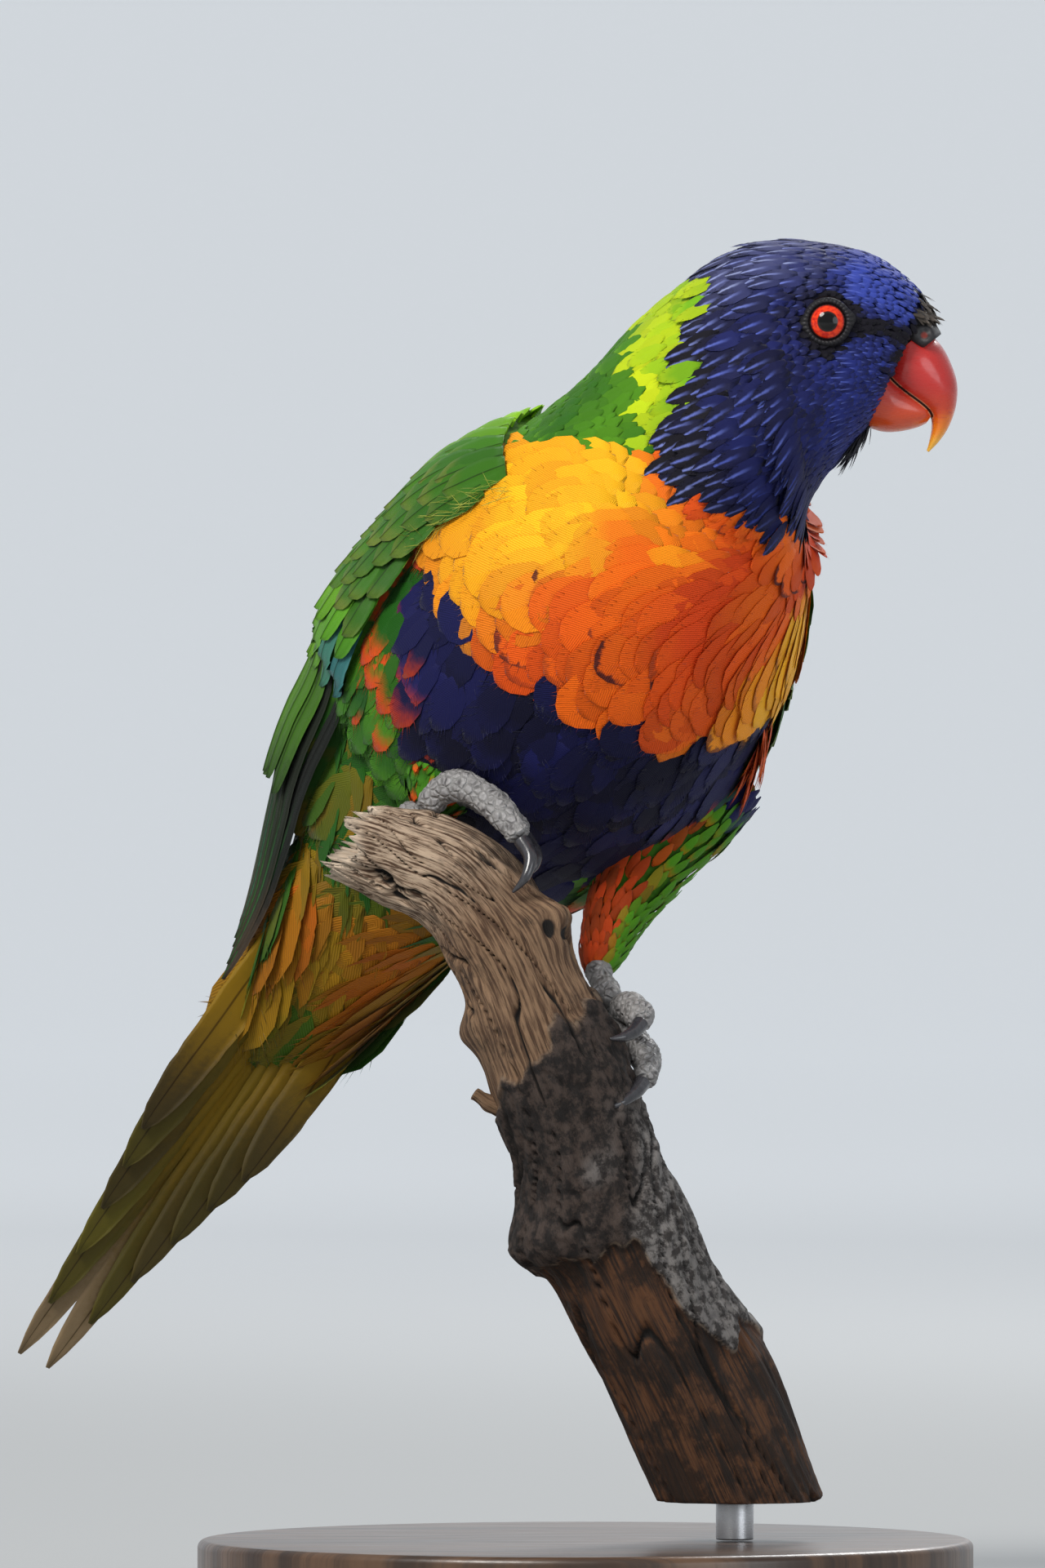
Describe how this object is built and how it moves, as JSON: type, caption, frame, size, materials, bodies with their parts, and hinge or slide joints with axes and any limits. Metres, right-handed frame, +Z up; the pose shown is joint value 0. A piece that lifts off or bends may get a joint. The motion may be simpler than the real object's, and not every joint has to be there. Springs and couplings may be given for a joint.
{
  "type": "rainbow lorikeet",
  "caption": "Life-size lorikeet at rest, clinging head-up to a short leaning length of dead branch, which a round display stand holds up on a rod.",
  "frame": {"origin": "centre of the display stand's underside", "axes": "+Z up, +X to the side the bill points to; the viewer of the picture looks along +Y"},
  "size_m": [0.1798, 0.15, 0.2529],
  "materials": {
    "head_plumage": "matt",
    "neck_plumage": "matt",
    "body_plumage": "matt",
    "wing_plumage": "satin",
    "tail_plumage": "satin",
    "thigh_plumage": "matt",
    "foot_skin": "satin",
    "claw_horn": "gloss",
    "bill_horn": "gloss",
    "cere_skin": "satin",
    "eye": "gloss",
    "dead_wood": "rough",
    "base_wood": "satin",
    "rod_steel": "brushed"
  },
  "bodies": {
    "root": {"head": "head_plumage", "neck": "neck_plumage", "torso": "body_plumage", "tail": "tail_plumage", "wing_right": "wing_plumage", "wing_left": "wing_plumage", "thigh_right": "thigh_plumage", "thigh_left": "thigh_plumage", "tarsus_right": "foot_skin", "tarsus_left": "foot_skin", "toe_right_outer_front": "foot_skin", "toe_right_inner_front": "foot_skin", "toe_right_outer_back": "foot_skin", "toe_right_inner_back": "foot_skin", "toe_left_outer_front": "foot_skin", "toe_left_inner_front": "foot_skin", "toe_left_outer_back": "foot_skin", "toe_left_inner_back": "foot_skin", "claw_right_outer_front": "claw_horn", "claw_right_inner_front": "claw_horn", "claw_right_outer_back": "claw_horn", "claw_right_inner_back": "claw_horn", "claw_left_outer_front": "claw_horn", "claw_left_inner_front": "claw_horn", "claw_left_outer_back": "claw_horn", "claw_left_inner_back": "claw_horn", "bill_upper": "bill_horn", "bill_lower": "bill_horn", "cere": "cere_skin", "eye_right": "eye", "eye_left": "eye", "perch_branch": "dead_wood", "stand_base": "base_wood", "stand_rod": "rod_steel"}
  },
  "joints": []
}
